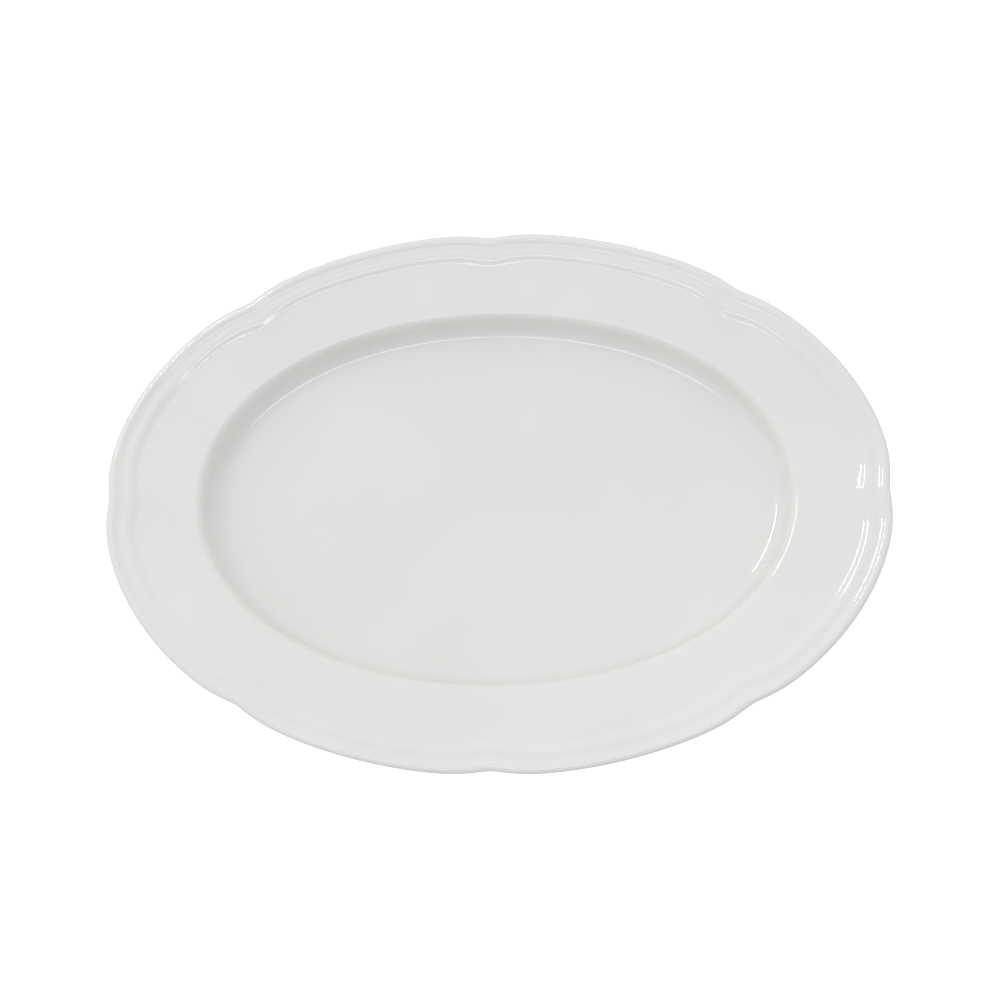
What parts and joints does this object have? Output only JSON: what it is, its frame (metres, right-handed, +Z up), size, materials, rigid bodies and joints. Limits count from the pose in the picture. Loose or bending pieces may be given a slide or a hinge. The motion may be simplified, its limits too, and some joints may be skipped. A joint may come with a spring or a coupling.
{
  "type": "serving platter",
  "caption": "Oval glazed china serving platter with a scalloped, softly stepped rim, a sloping flange, a flat-floored well and a low foot ring.",
  "frame": {"origin": "middle of the plane that the foot ring stands on", "axes": "+X along the platter's length, +Y across its width, +Z up out of the well"},
  "size_m": [0.347, 0.2412, 0.0272],
  "materials": {
    "china": "dry, unglazed fired white china, fine grained and matt, seen on the resting edge of the foot ring",
    "glaze": "clear glossy glaze over white china, smooth, with a faint cool grey-green cast"
  },
  "bodies": {
    "root": {"porcelain_body": "china", "glaze_coat": "glaze", "base_glaze": "glaze"}
  },
  "joints": []
}
